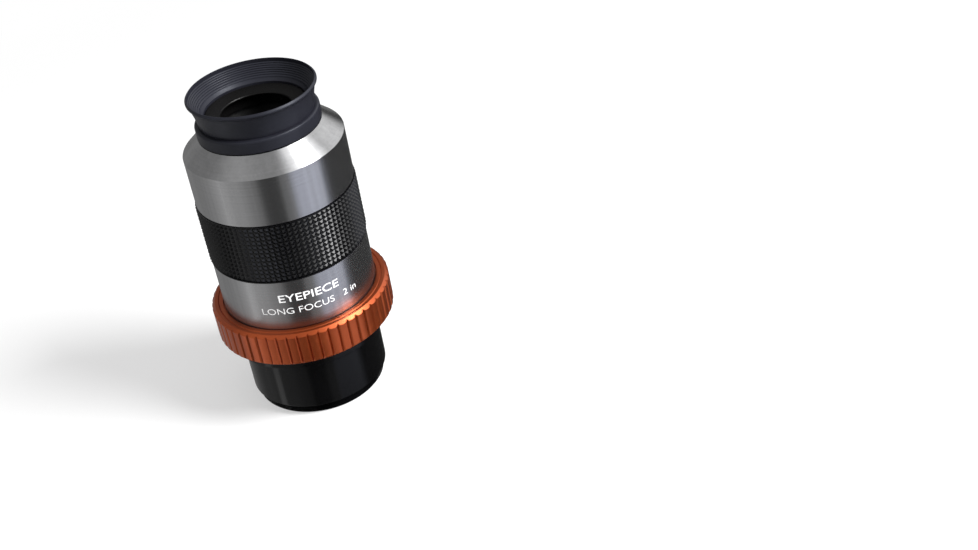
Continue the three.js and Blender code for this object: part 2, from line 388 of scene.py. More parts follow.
def grip_rubber():
    look, tree = new_material("hard black grip rubber")
    dust = noise(tree, (250, 250, 250), detail=4)
    grain = noise(tree, (4000, 4000, 4000), detail=2)
    inputs = {
        "Base Color": tint(tree, dust, (0.0016, 0.0016, 0.0022), (0.0030, 0.0030, 0.0036)),
        "Roughness": spread(tree, dust, 0.22, 0.30),
        "IOR": 1.56,
        "Normal": bump(tree, grain, 0.006 * MM),
    }
    return surface(look, inputs)


def eyecup_rubber():
    look, tree = new_material("soft eyecup rubber")
    bloom = noise(tree, (60, 60, 90), detail=4)
    grain = noise(tree, (3500, 3500, 3500), detail=3)
    patches = spread(tree, bloom, 0, 1)
    inputs = {
        "Base Color": tint(tree, patches, (0.010, 0.0103, 0.0145), (0.014, 0.0144, 0.0198)),
        "Roughness": spread(tree, grain, 0.32, 0.42),
        "Specular IOR Level": 0.36,
        "Specular Tint": (0.88, 0.92, 1.0, 1.0),
        "Normal": bump(tree, grain, 0.012 * MM),
    }
    return surface(look, inputs)


def coated_glass(name, film):
    """Lens glass under an anti-reflection film of the given thickness in nanometres."""
    look, tree = new_material(name)
    wipe_marks = noise(tree, (40, 60, 40), detail=2)
    inputs = {
        "Base Color": (0.97, 1.0, 0.985, 1.0),
        "Roughness": remap(tree, wipe_marks, 0.0, 0.012, 0.4, 0.7),
        "Transmission Weight": 1.0,
        "IOR": 1.5,
        "Specular Tint": (0.30, 0.62, 0.42, 1.0),
        "Thin Film Thickness": film,
        "Thin Film IOR": 1.38,
    }
    return surface(look, inputs)


def nylon():
    look, tree = new_material("natural nylon")
    cloud = noise(tree, (120, 120, 120), detail=3)
    inputs = {
        "Base Color": tint(tree, cloud, (0.66, 0.64, 0.57), (0.74, 0.72, 0.66)),
        "Roughness": spread(tree, cloud, 0.38, 0.5),
        "Subsurface Weight": 0.2,
        "Subsurface Radius": (0.002, 0.002, 0.0015),
    }
    return surface(look, inputs)


def white_ink():
    look, tree = new_material("white ink")
    wear = noise(tree, (700, 700, 700), detail=3)
    inputs = {
        "Base Color": tint(tree, wear, (0.74, 0.74, 0.74), (0.92, 0.92, 0.93)),
        "Roughness": spread(tree, wear, 0.4, 0.55),
    }
    return surface(look, inputs)


SILVER = turned_metal("turned silver aluminium", (0.53, 0.53, 0.535), (0.67, 0.67, 0.68), 0.26, 0.90)
CHROME = turned_metal("polished chrome", (0.74, 0.74, 0.76), (0.80, 0.80, 0.83), 0.09, 0.3)
BRASS = turned_metal("turned brass", (0.62, 0.42, 0.15), (0.72, 0.52, 0.22), 0.25, 0.6)
STEEL = turned_metal("ground steel", (0.42, 0.42, 0.43), (0.52, 0.52, 0.53), 0.3, 0.4)
ORANGE = anodised_orange()
GLOSS_BLACK = gloss_black()
MATT_BLACK = matt_black()
GRIP = grip_rubber()
RUBBER = eyecup_rubber()
EYE_GLASS = coated_glass("eye lens glass", 118)
FIELD_GLASS = coated_glass("field lens glass", 96)
NYLON = nylon()
INK = white_ink()


# ---------- the twist-lock holder ----------
def thread(r, depth, z0, z1, pitch):
    """Corners of an external thread's ridges between two heights, from the bottom up."""
    turns = int((z1 - z0) / pitch)
    corners = []
    for k in range(turns):
        z = z0 + k * pitch
        corners.append((r - depth, z + 0.1 * pitch, 0))
        corners.append((r, z + 0.42 * pitch, 0))
        corners.append((r, z + 0.58 * pitch, 0))
        corners.append((r - depth, z + 0.9 * pitch, 0))
    return corners


def holder_tube():
    bottom = low("holder_tube")
    top = high("holder_tube")
    seat = bottom + 4.5 * MM
    head = top - 5.5 * MM
    spigot = 26.5 * MM
    relief = spigot - 0.6 * MM
    ledge, ledge_top, bore_low = 24.2 * MM, bottom + 6.0 * MM, bottom + 6.8 * MM
    taper_top, taper_foot = 28.9 * MM, 27.0 * MM
    corners = [
        (ledge, bottom, 0.2 * MM),
        (relief, bottom, 0.1 * MM),
        *thread(spigot, 0.4 * MM, bottom + 0.4 * MM, seat - 0.8 * MM, THREAD_PITCH),
        (relief, seat - 0.7 * MM, 0),
        (relief, seat, 0.1 * MM),
        (TUBE_R, seat, 0.35 * MM),
        (TUBE_R, head, 0.1 * MM),
        (HEAD_R, head, 0.2 * MM),
        (HEAD_R, top, 0.2 * MM),
        (taper_top, top, 0.1 * MM),
        (taper_foot, head + 0.7 * MM, 0.1 * MM),
        (BORE_R, head + 0.5 * MM, 0.1 * MM),
        (BORE_R, bore_low, 0.1 * MM),
        (ledge, ledge_top, 0.1 * MM),
    ]
    piece = turned("holder_tube_fine", corners)
    hole_r, hole_start, hole_end = PIN_R + 0.15 * MM, 28.7 * MM, HEAD_R + 1 * MM
    hole = new_object("tool", rod_mesh("hole", hole_r, hole_start, hole_end, PIN_Z, 0))
    return stand_for(cut(piece, hole), "holder_tube", GLOSS_BLACK)


def stop_pin():
    mesh = rod_mesh("ring_stop_pin_fine", PIN_R, PIN_LOW.x, PIN_HIGH.x, PIN_Z, 0.25 * MM)
    return stand_for(smooth(new_object("ring_stop_pin_fine", mesh)), "ring_stop_pin", STEEL)


NUT_NOTCHES = 4
NOTCH_SIZE = (2 * MM, 3 * MM, 1.2 * MM)  # in from the wall, along it, and up from the lower face


def retaining_nut():
    bottom, top, r = low("ring_retaining_nut"), high("ring_retaining_nut"), radius("ring_retaining_nut")
    inner = TUBE_R + 0.25 * MM
    chamfer = 0.6 * MM
    corners = [
        (inner, bottom, 0.1 * MM),
        (r - chamfer, bottom, 0.15 * MM),
        (r, bottom + chamfer, 0.15 * MM),
        (r, top, 0.15 * MM),
        (inner, top, 0.1 * MM),
    ]
    piece = turned("ring_retaining_nut_fine", corners)
    notches = []
    for k in range(NUT_NOTCHES):
        turn = Matrix.Rotation(2 * math.pi * (k + 0.5) / NUT_NOTCHES, 4, "Z")
        centre = turn @ Vector((r, 0, bottom))
        tool = box_tool(NOTCH_SIZE, (0, 0, 0))
        tool.data.transform(Matrix.Translation(centre) @ turn)
        notches.append(tool)
    return stand_for(cut(piece, *notches), "ring_retaining_nut", GLOSS_BLACK)


RIBS = 54
RIB_GROOVE_DEPTH = 0.62 * MM
RIB_CROWN = 0.08 * MM
GROOVE_SHARE = 0.3  # of a rib's pitch
RING_CAVITY_R = HEAD_R + 0.4 * MM
PIN_SLOT_R = 32.8 * MM
PIN_SLOT_START, PIN_SLOT_END = math.radians(-43), math.radians(3)


def rib_limit(angle):
    """Radius of the lock ring's outer wall: crowned lands with a vee groove between them."""
    share = (angle * RIBS / (2 * math.pi)) % 1.0
    from_groove = min(share, 1 - share)
    half_groove = GROOVE_SHARE / 2
    if from_groove < half_groove:
        return RING_R - RIB_CROWN - RIB_GROOVE_DEPTH * (1 - from_groove / half_groove)
    from_crown = (0.5 - from_groove) / (0.5 - half_groove)
    return RING_R - RIB_CROWN * from_crown**2


def ring_wall(angle, r):
    """Radius of a corner of the lock ring: ribs on the outside, the stop pin's slot on the inside."""
    if r != PIN_SLOT_R:
        return min(r, rib_limit(angle))
    signed = math.remainder(angle, 2 * math.pi)
    return PIN_SLOT_R if PIN_SLOT_START <= signed <= PIN_SLOT_END else RING_CAVITY_R


def rib_angles():
    """Columns that fall on each groove's bottom and edges, and spread over each land."""
    half = GROOVE_SHARE / 2
    beside_groove = [half * 0.15, half * 0.6, half, half + 0.03]
    shares = [0, *beside_groove, 0.25, 0.4, 0.6, 0.75, *[1 - share for share in reversed(beside_groove)]]
    return [2 * math.pi * (rib + share) / RIBS for rib in range(RIBS) for share in shares]


def chamfer_steps(r, z, size, count, upwards):
    """Points up a 45 degree chamfer on the ribbed wall, close enough for the ribs to bend them."""
    if upwards:
        return [(r - size * (1 - k / count), z + size * k / count, 0) for k in range(1, count + 1)]
    return [(r - size * k / count, z - size * (1 - k / count), 0) for k in range(count)]


def lock_ring():
    lip = TUBE_R + 0.3 * MM
    lip_top = RING_Z + 1.6 * MM
    cavity = RING_CAVITY_R
    slot_low, slot_high = PIN_LOW.z - 0.4 * MM, PIN_HIGH.z + 0.4 * MM
    recess = BODY_R + 0.4 * MM
    floor = RING_TOP - 1.3 * MM
    flange = RING_TOP - 3.2 * MM
    throat = BARREL_R + 0.8 * MM
    line_r, line_half_width, line_depth = 33.3 * MM, 0.25 * MM, 0.35 * MM  # in the top face
    bottom_chamfer, top_chamfer = 0.8 * MM, 1.3 * MM
    corners = [
        (lip, RING_Z, 0.15 * MM),
        (RING_R - bottom_chamfer, RING_Z, 0.1 * MM),
        *chamfer_steps(RING_R, RING_Z, bottom_chamfer, 6, upwards=True),
        *chamfer_steps(RING_R, RING_TOP, top_chamfer, 10, upwards=False),
        (RING_R - top_chamfer, RING_TOP, 0.12 * MM),
        (line_r + line_half_width, RING_TOP, 0.05 * MM),
        (line_r, RING_TOP - line_depth, 0.05 * MM),
        (line_r - line_half_width, RING_TOP, 0.05 * MM),
        (recess, RING_TOP, 0.3 * MM),
        (recess, floor, 0.1 * MM),
        (throat, floor, 0.1 * MM),
        (throat, flange, 0.1 * MM),
        (cavity, flange, 0.1 * MM),
        (cavity, slot_high, 0),
        (PIN_SLOT_R, slot_high, 0),
        (PIN_SLOT_R, slot_low, 0),
        (cavity, slot_low, 0),
        (cavity, lip_top, 0.1 * MM),
        (lip, lip_top, 0.1 * MM),
    ]
    mesh = turned_mesh("lock_ring_fine", rounded(corners, 3), rib_angles(), ring_wall)
    piece = smooth(new_object("lock_ring_fine", mesh), 24)
    return stand_for(piece, "lock_ring", ORANGE)


def pressure_ring():
    corners = square_section("pressure_ring", BARREL_R + 0.5 * MM, 0.25 * MM)
    return stand_for(turned("pressure_ring_fine", corners), "pressure_ring", NYLON)


def compression_collet():
    bottom, top, r = low("compression_collet"), high("compression_collet"), radius("compression_collet")
    foot_r = r - 1.75 * MM
    corners = [
        (BORE_R, bottom, 0.2 * MM),
        (foot_r, bottom, 0.2 * MM),
        (r, top - 0.4 * MM, 0.1 * MM),
        (r, top, 0.15 * MM),
        (BORE_R, top, 0.2 * MM),
    ]
    piece = turned("compression_collet_fine", corners)
    slit_width, wall_middle = 3 * MM, 27 * MM
    slit = box_tool((6 * MM, slit_width, 12 * MM), (-wall_middle, 0, (bottom + top) / 2))
    return stand_for(cut(piece, slit), "compression_collet", BRASS)


# ---------- the nosepiece ----------
def nosepiece_barrel():
    bottom, top = low("nosepiece_barrel"), high("nosepiece_barrel")
    shoulder = low("lower_housing") - 0.3 * MM
    bore, filter_bore, collar = 23.4 * MM, 23.8 * MM, 24.6 * MM
    undercut_low, undercut_high, undercut_depth = bottom + 9.5 * MM, bottom + 20.5 * MM, 0.5 * MM
    ridge_r = filter_bore + 0.15 * MM
    ridges = thread(ridge_r, 0.3 * MM, bottom + 0.5 * MM, bottom + 4.3 * MM, THREAD_PITCH)
    filter_thread = [(2 * filter_bore - r, z, 0) for r, z, _ in reversed(ridges)]
    corners = [
        (filter_bore + 0.2 * MM, bottom, 0),
        (BARREL_R, bottom, 0.45 * MM),
        (BARREL_R, undercut_low - undercut_depth, 0.1 * MM),
        (BARREL_R - undercut_depth, undercut_low, 0.3 * MM),
        (BARREL_R - undercut_depth, undercut_high, 0.3 * MM),
        (BARREL_R, undercut_high + undercut_depth, 0.1 * MM),
        (BARREL_R, shoulder, 0.15 * MM),
        (collar, shoulder, 0.05 * MM),
        (collar, top, 0.15 * MM),
        (bore, top, 0.15 * MM),
        (bore, bottom + 4.9 * MM, 0.1 * MM),
        (ridge_r, bottom + 4.6 * MM, 0),
        *filter_thread,
    ]
    return stand_for(turned("nosepiece_barrel_fine", corners), "nosepiece_barrel", CHROME)


def field_stop():
    bottom, top, r = low("field_stop"), high("field_stop"), radius("field_stop")
    opening = 22.1 * MM
    corners = [
        (opening, bottom + 1.0 * MM, 0.04 * MM),
        (r, bottom, 0.05 * MM),
        (r, top, 0.1 * MM),
        (opening + 0.5 * MM, top, 0.1 * MM),
    ]
    return stand_for(turned("field_stop_fine", corners), "field_stop", MATT_BLACK)


# ---------- the housings ----------
def lower_housing():
    bottom, top = low("lower_housing"), high("lower_housing")
    thread_r = 24.9 * MM
    web = bottom + 5.6 * MM
    bore = 28.6 * MM
    corners = [
        (thread_r, bottom, 0.1 * MM),
        (BODY_R, bottom, 0.5 * MM),
        (BODY_R, top, 0.15 * MM),
        (bore, top, 0.15 * MM),
        (bore, web, 0.3 * MM),
        (thread_r, web, 0.1 * MM),
    ]
    return stand_for(turned("lower_housing_fine", corners), "lower_housing", SILVER)


def upper_housing():
    bottom, top = low("upper_housing"), high("upper_housing")
    spigot = 28.3 * MM
    grip_seat = 29.2 * MM
    grip_low, grip_high = low("grip_sleeve"), high("grip_sleeve") + 0.3 * MM
    cone = top - 11.1 * MM
    cone_top, cone_top_r = top - 4.6 * MM, 23.7 * MM
    cell_bore, neck_bore = 26.3 * MM, 18.2 * MM
    cell_bore_top = cone - 0.5 * MM
    corners = [
        (cell_bore, bottom, 0.2 * MM),
        (spigot, bottom, 0.3 * MM),
        (spigot, grip_low, 0.1 * MM),
        (grip_seat, grip_low, 0.1 * MM),
        (grip_seat, grip_high, 0.1 * MM),
        (BODY_R, grip_high, 0.15 * MM),
        (BODY_R, cone, 0.25 * MM),
        (cone_top_r, cone_top, 0.15 * MM),
        (NECK_R, cone_top, 0.1 * MM),
        (NECK_R, top, 0.2 * MM),
        (neck_bore, top, 0.15 * MM),
        (neck_bore, cell_bore_top, 0.2 * MM),
        (cell_bore, cell_bore_top, 0.2 * MM),
    ]
    return stand_for(turned("upper_housing_fine", corners), "upper_housing", SILVER)


GRIP_COLUMNS = 92
GRIP_ROWS = 13
PYRAMID_BASE = 0.90  # share of the pitch that a pyramid's foot takes; the rest is the valley
PYRAMID_TIP = 0.08  # share of the pitch left flat at the tip
PYRAMID_HEIGHT = 0.85 * MM
GRIP_CREASE = 12  # degrees, so that the pyramids' faces stay flat and the round of the sleeve smooth


def grip_sleeve():
    """Sleeve moulded all over with square pyramids."""
    bottom, top = low("grip_sleeve"), high("grip_sleeve")
    tip_r = radius("grip_sleeve")
    valley_r = tip_r - PYRAMID_HEIGHT
    bore = 29.5 * MM
    border = 0.35 * MM
    pitch = (top - bottom - 2 * border) / GRIP_ROWS
    mesh = bmesh.new()

    def ring(r, z, angles):
        return [mesh.verts.new((r * math.sin(a), -r * math.cos(a), z)) for a in angles]

    def bridge(lower, upper):
        for j in range(len(lower)):
            k = (j + 1) % len(lower)
            mesh.faces.new((lower[j], lower[k], upper[k], upper[j]))

    def edges(share):
        """Where a square of this share of the pitch starts and ends in each column."""
        step = 2 * math.pi / GRIP_COLUMNS
        return [step * (c + 0.5 + side * share / 2) for c in range(GRIP_COLUMNS) for side in (-1, 1)]

    feet = edges(PYRAMID_BASE)
    tips = edges(PYRAMID_TIP)
    rows = []
    for row in range(GRIP_ROWS):
        middle = bottom + border + pitch * (row + 0.5)
        foot_low = ring(valley_r, middle - pitch * PYRAMID_BASE / 2, feet)
        foot_high = ring(valley_r, middle + pitch * PYRAMID_BASE / 2, feet)
        tip_low = ring(tip_r, middle - pitch * PYRAMID_TIP / 2, tips)
        tip_high = ring(tip_r, middle + pitch * PYRAMID_TIP / 2, tips)
        count = len(feet)
        for j in range(0, count, 2):
            k, after = j + 1, (j + 2) % count
            mesh.faces.new((tip_low[j], tip_low[k], tip_high[k], tip_high[j]))
            mesh.faces.new((foot_low[j], foot_low[k], tip_low[k], tip_low[j]))
            mesh.faces.new((tip_high[j], tip_high[k], foot_high[k], foot_high[j]))
            mesh.faces.new((foot_low[j], tip_low[j], tip_high[j], foot_high[j]))
            mesh.faces.new((tip_low[k], foot_low[k], foot_high[k], tip_high[k]))
            mesh.faces.new((foot_low[k], foot_low[after], foot_high[after], foot_high[k]))
        rows.append((foot_low, foot_high))
    for (_, below), (above, _) in zip(rows, rows[1:]):
        bridge(below, above)
    rim_r = tip_r - 0.35 * MM
    rim_height = border * 0.7
    foot = ring(rim_r, bottom + rim_height, feet)
    foot_edge = ring(rim_r, bottom, feet)
    inner_low = ring(bore, bottom, feet)
    inner_high = ring(bore, top, feet)
    head_edge = ring(rim_r, top, feet)
    head = ring(rim_r, top - rim_height, feet)
    chain = [rows[-1][1], head, head_edge, inner_high, inner_low, foot_edge, foot, rows[0][0]]
    for lower, upper in zip(chain, chain[1:]):
        bridge(lower, upper)
    data = bpy.data.meshes.new("grip_sleeve_fine")
    mesh.to_mesh(data)
    mesh.free()
    piece = new_object("grip_sleeve_fine", data)
    piece.data.shade_smooth()
    piece.data.set_sharp_from_angle(angle=math.radians(GRIP_CREASE))
    return stand_for(piece, "grip_sleeve", GRIP)


LETTER_STEP = 0.4 * MM  # widest flat left when lettering is wrapped round the body
INK_HEIGHT = 0.025 * MM  # above the metal
INK_ROOT = 0.02 * MM  # into the metal


def lettering(name, words, height, span, centre, z, weight):
    """White lettering wrapped round the lower housing: height and z in metres, span and centre in
    degrees. A positive weight makes the strokes bolder."""
    curve = bpy.data.curves.new(name, "FONT")
    curve.body = words
    curve.align_x = "CENTER"
    curve.extrude = 0.5
    curve.resolution_u = 4
    curve.offset = weight
    source = new_object(name, curve)
    bpy.context.view_layer.update()
    evaluated = source.evaluated_get(bpy.context.evaluated_depsgraph_get())
    data = bpy.data.meshes.new_from_object(evaluated)
    bpy.data.objects.remove(source)
    points = [v.co.copy() for v in data.vertices]
    left, right = min(p.x for p in points), max(p.x for p in points)
    top = max(p.y for p in points)
    wide = math.radians(span) * BODY_R / (right - left)
    middle = (left + right) / 2
    data.transform(Matrix.Diagonal((wide, height / top, 1, 1)) @ Matrix.Translation((-middle, 0, 0)))
    mesh = bmesh.new()
    mesh.from_mesh(data)
    bmesh.ops.remove_doubles(mesh, verts=mesh.verts, dist=1e-6)
    half = math.radians(span) * BODY_R / 2
    steps = int(2 * half / LETTER_STEP)
    for k in range(1, steps):
        whole = mesh.verts[:] + mesh.edges[:] + mesh.faces[:]
        at = (-half + 2 * half * k / steps, 0, 0)
        bmesh.ops.bisect_plane(mesh, geom=whole, dist=1e-7, plane_co=at, plane_no=(1, 0, 0))
    for v in mesh.verts:
        angle = math.radians(centre) + v.co.x / BODY_R
        r = BODY_R + (INK_HEIGHT if v.co.z > 0 else -INK_ROOT)
        v.co = (r * math.sin(angle), -r * math.cos(angle), z + v.co.y)
    mesh.to_mesh(data)
    mesh.free()
    piece = new_object(name, data)
    piece.data.materials.clear()
    piece.data.materials.append(INK)
    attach(piece, BODY_OF["lower_housing"])
    return piece


# ---------- the optics ----------
LENS_R = radius("eye_flint_lens")
CEMENT_R = 50 * MM  # curvature of the cemented faces
CROWN_R = 60 * MM  # curvature of the crowns' free faces
NEARLY_FLAT = 50000 * MM
FLINT_MIDDLE = 2.5 * MM  # a flint's thickness on the axis
LENS_STEPS = 20


def sag(curvature, r):
    return curvature - math.sqrt(curvature**2 - r**2)


def lens(node, look):
    """A lens element between its two faces. A flint is flat outside and hollow inside, and a crown
    bulges both ways."""
    bottom, top = low(node), high(node)
    is_eye_side = node.startswith("eye")
    is_flint = "flint" in node
    bevel = 0.15 * MM
    reach = LENS_R - bevel

    def face(vertex, curvature, direction):
        """(radius, z) from the axis to the edge."""
        radii = [reach * k / LENS_STEPS for k in range(LENS_STEPS + 1)]
        return [(r, vertex + direction * sag(curvature, r)) for r in radii]

    if is_flint and is_eye_side:
        lower, upper = face(top - FLINT_MIDDLE, CEMENT_R, -1), face(top, NEARLY_FLAT, -1)
    elif is_flint:
        lower, upper = face(bottom, NEARLY_FLAT, 1), face(bottom + FLINT_MIDDLE, CEMENT_R, 1)
    elif is_eye_side:
        lower, upper = face(bottom, CROWN_R, 1), face(top, CEMENT_R, -1)
    else:
        lower, upper = face(bottom, CEMENT_R, 1), face(top, CROWN_R, -1)
    edge = [(LENS_R, lower[-1][1] + bevel), (LENS_R, upper[-1][1] - bevel)]
    loop = lower + edge + upper[::-1]
    mesh = turned_mesh(node + "_fine", loop, even_angles(COARSE))
    return stand_for(smooth(new_object(node + "_fine", mesh)), node, look)


def lens_cell():
    bottom, top, r = low("lens_cell"), high("lens_cell"), radius("lens_cell")
    seat, lip = LENS_R + 0.3 * MM, 20.5 * MM
    glass_top = high("eye_flint_lens") + 0.1 * MM
    corners = [
        (seat, bottom, 0.2 * MM),
        (r, bottom, 0.2 * MM),
        (r, top, 0.2 * MM),
        (lip + 1.2 * MM, top, 0.1 * MM),
        (lip, glass_top + 0.5 * MM, 0.1 * MM),
        (lip, glass_top, 0.05 * MM),
        (seat, glass_top, 0.05 * MM),
    ]
    return stand_for(turned("lens_cell_fine", corners, COARSE), "lens_cell", MATT_BLACK)


def lens_spacer():
    corners = square_section("lens_spacer", 20.6 * MM, 0.1 * MM)
    return stand_for(turned("lens_spacer_fine", corners, COARSE), "lens_spacer", MATT_BLACK)


def lens_retaining_ring():
    node = "lens_retaining_ring"
    bottom, top, r = low(node), high(node), radius(node)
    bore = 20.2 * MM
    corners = [
        (bore, bottom, 0.3 * MM),
        (r, bottom, 0.15 * MM),
        (r, top, 0.1 * MM),
        (bore, top, 0.1 * MM),
    ]
    piece = turned("lens_retaining_ring_fine", corners)
    slot_width, slot_depth = 2 * MM, 1 * MM
    slots = box_tool((50 * MM, slot_width, 2 * slot_depth), (0, 0, bottom))
    return stand_for(cut(piece, slots), "lens_retaining_ring", MATT_BLACK)


def eye_stop_ring():
    """Black dished ring round the eye opening."""
    bottom, top, r = low("eye_stop_ring"), high("eye_stop_ring"), radius("eye_stop_ring")
    opening = 13.5 * MM
    neck, neck_bore = 17.9 * MM, 16.6 * MM
    seat = high("upper_housing") + 0.3 * MM
    corners = [
        (neck_bore, bottom, 0.1 * MM),
        (neck, bottom, 0.2 * MM),
        (neck, seat, 0.05 * MM),
        (r, seat, 0.1 * MM),
        (r, top, 0.2 * MM),
        (r - 0.5 * MM, top, 0.2 * MM),
        (opening + 0.7 * MM, top - 1.05 * MM, 0.3 * MM),
        (opening + 0.25 * MM, top - 1.1 * MM, 0.1 * MM),
        (opening, top - 1.4 * MM, 0.1 * MM),
        (opening, top - 1.8 * MM, 0.15 * MM),
        (neck_bore, top - 2.6 * MM, 0.2 * MM),
    ]
    return stand_for(turned("eye_stop_ring_fine", corners), "eye_stop_ring", MATT_BLACK)


# ---------- the rubber eyecup ----------
def eyecup_band():
    bottom, top, r = low("eyecup_band"), high("eyecup_band"), radius("eyecup_band")
    inner = NECK_R + 0.25 * MM
    corners = [
        (inner, bottom, 0.1 * MM),
        (r, bottom, 0.35 * MM),
        (r, top, 1.25 * MM),
        (inner, top, 0.05 * MM),
    ]
    return stand_for(turned("eyecup_band_fine", corners, steps=8), "eyecup_band", RUBBER)


CUP_RIBS = 7
CUP_RIB_HEIGHT = 0.22 * MM
STEPS_PER_RIB = 8
FLARE_STEPS = 12


def flare(t):
    """Share of the funnel's outer flare that is reached at a share t of its height."""
    return 0.45 * t + 0.55 * t**2.2


def eyecup_funnel():
    """The part of the cup that collapses when the rim is folded down."""
    # Its ends are sunk into the band and the rim, as the cup is one moulding.
    bottom, top = low("eyecup_funnel") - 0.5 * MM, low("eyecup_rim") + 0.4 * MM
    inner_low = radius("eye_stop_ring") + 0.3 * MM
    step_r, step_z = 20.5 * MM, 128.7 * MM  # where the ribs inside start
    crease = 22.1 * MM
    outer_top = 24.25 * MM
    inner_top = 23.9 * MM
    ledge = high("eye_stop_ring") + 0.2 * MM
    height = top - bottom
    outer = []
    for k in range(FLARE_STEPS + 1):
        t = k / FLARE_STEPS
        outer.append((crease + (outer_top - crease) * flare(t), bottom + height * t))
    inner = []
    inner_steps = CUP_RIBS * STEPS_PER_RIB
    for k in range(inner_steps + 1):
        t = 1 - k / inner_steps
        ripple = CUP_RIB_HEIGHT * math.sin(math.pi * (k % STEPS_PER_RIB) / STEPS_PER_RIB)
        inner.append((step_r + (inner_top - step_r) * t**0.85 - ripple, step_z + (top - step_z) * t))
    inner.append((step_r - 0.25 * MM, step_z - 0.35 * MM))
    inner += rounded([(inner_low, ledge + 0.5 * MM, 0), (inner_low, ledge, 0)])
    loop = outer + inner + [(inner_low, bottom)]
    mesh = turned_mesh("eyecup_funnel_fine", loop, even_angles(FINE))
    piece = smooth(new_object("eyecup_funnel_fine", mesh), 40)
    stand_for(piece, "eyecup_funnel", RUBBER)
    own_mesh(piece)
    return piece


def eyecup_rim():
    bottom, top, r = low("eyecup_rim"), high("eyecup_rim"), radius("eyecup_rim")
    inner = r - 0.95 * MM
    corners = [
        (inner, bottom + 0.2 * MM, 0),
        (r - 0.5 * MM, bottom + 0.05 * MM, 0.1 * MM),
        (r, bottom + 0.7 * MM, 0.3 * MM),
        (r, top - 0.65 * MM, 0.2 * MM),
        (r - 0.55 * MM, top, 0.15 * MM),
        (r - 0.85 * MM, top, 0.15 * MM),
        (inner, bottom + 0.9 * MM, 0),
    ]
    return stand_for(turned("eyecup_rim_fine", corners, steps=8), "eyecup_rim", RUBBER)


# ---------- build the object ----------
holder_tube()
stop_pin()
retaining_nut()
lock_ring()
pressure_ring()
compression_collet()

nosepiece_barrel()
field_stop()
lower_housing()
upper_housing()
grip_sleeve()
LETTERING_BASE = low("lower_housing")
LETTERING_CENTRE = 5  # degrees to the right of the front
UPPER_LINE, LOWER_LINE = LETTERING_BASE + 13.4 * MM, LETTERING_BASE + 7.9 * MM
lettering("lettering_upper", "EYEPIECE", 3.3 * MM, 45, LETTERING_CENTRE, UPPER_LINE, 0.006)
lettering("lettering_lower", "LONG FOCUS   2 in", 2.7 * MM, 74, LETTERING_CENTRE, LOWER_LINE, -0.008)

lens_cell()
lens("eye_flint_lens", EYE_GLASS)
lens("eye_crown_lens", EYE_GLASS)
lens_spacer()
lens("field_crown_lens", FIELD_GLASS)
lens("field_flint_lens", FIELD_GLASS)
lens_retaining_ring()
eye_stop_ring()

eyecup_band()
eyecup_funnel()
eyecup_rim()


# ---------- studio ----------
SoftBox = namedtuple("SoftBox", "azimuth half_width low high edge colour")


def grey(value):
    return (value, value, value)


# What the metals reflect, in degrees. Azimuth 0 is in front of the object, and positive is to the right.
STUDIO_BASE = grey(0.20)
SOFT_BOXES = [
    SoftBox(-95, 62, -90, 40, 10, grey(0.245)),  # pale wall on the left
    SoftBox(-76, 30, -90, 40, 16, grey(0.335)),
    SoftBox(-82, 4, -70, 0, 6, grey(0.46)),  # brighter edge of it
    SoftBox(-95, 62, 40, 90, 10, grey(0.42)),
    SoftBox(-120, 22, 0, 60, 14, grey(0.22)),
    SoftBox(0, 40, 44, 90, 12, grey(0.36)),  # pale above the front
    SoftBox(-8, 15, -90, 35, 9, grey(0.06)),  # dark gap in front
    SoftBox(49, 24.5, -90, 32, 11, (0.62, 0.645, 0.75)),  # cool soft box on the right
    SoftBox(82, 11, -90, 32, 12, (0.13, 0.135, 0.16)),  # its dim far side
    SoftBox(120, 42, -90, 8, 8, grey(0.038)),  # dark beyond it
    SoftBox(70, 34, 34, 74, 34, grey(2.2)),  # glow round the key light, high on the right
    SoftBox(125, 28, 8, 42, 8, grey(0.97)),  # window behind, on the right
    SoftBox(0, 180, 80, 90, 16, grey(0.36)),  # even ceiling
    SoftBox(-80, 5, -60, -34, 4, grey(0.9)),  # pale edge low on the left
    SoftBox(49, 24.5, -90, -36, 6, (0.20, 0.21, 0.24)),  # darker floor on the right
]


def studio_colour(tree, direction):
    """The studio's colour in a direction, painted one soft box over another."""
    parts = shader(tree, "SeparateXYZ", {0: direction}).outputs
    level = shader(tree, "CombineXYZ", {0: parts[0], 1: parts[1]}).outputs[0]
    heading = shader(tree, "VectorMath", {0: level}, operation="NORMALIZE").outputs[0]
    colour = STUDIO_BASE

    def step(value, start, end):
        inputs = {"Value": value, "From Min": start, "From Max": end}
        return shader(tree, "MapRange", inputs, interpolation_type="SMOOTHSTEP").outputs["Result"]

    def times(a, b):
        return shader(tree, "Math", {0: a, 1: b}, operation="MULTIPLY").outputs[0]

    for box in SOFT_BOXES:
        mask = 1.0
        if box.half_width < 180:
            middle = math.radians(box.azimuth)
            towards = (math.sin(middle), -math.cos(middle), 0)
            across = shader(tree, "VectorMath", {0: heading, 1: towards}, operation="DOT_PRODUCT")
            wide = math.cos(math.radians(box.half_width + box.edge / 2))
            narrow = math.cos(math.radians(box.half_width - box.edge / 2))
            mask = step(across.outputs["Value"], wide, narrow)
        if box.low > -90:
            start, end = (math.sin(math.radians(box.low + side * box.edge / 2)) for side in (-1, 1))
            mask = times(mask, step(parts[2], start, end))
        if box.high < 90:
            start, end = (math.sin(math.radians(box.high + side * box.edge / 2)) for side in (1, -1))
            mask = times(mask, step(parts[2], start, end))
        colour = tint(tree, mask, colour, box.colour)
    return colour


LEFT_OVER_LEFT, LEFT_OVER_RIGHT = 0.75, 0.15  # strength after a second reflection, on each side


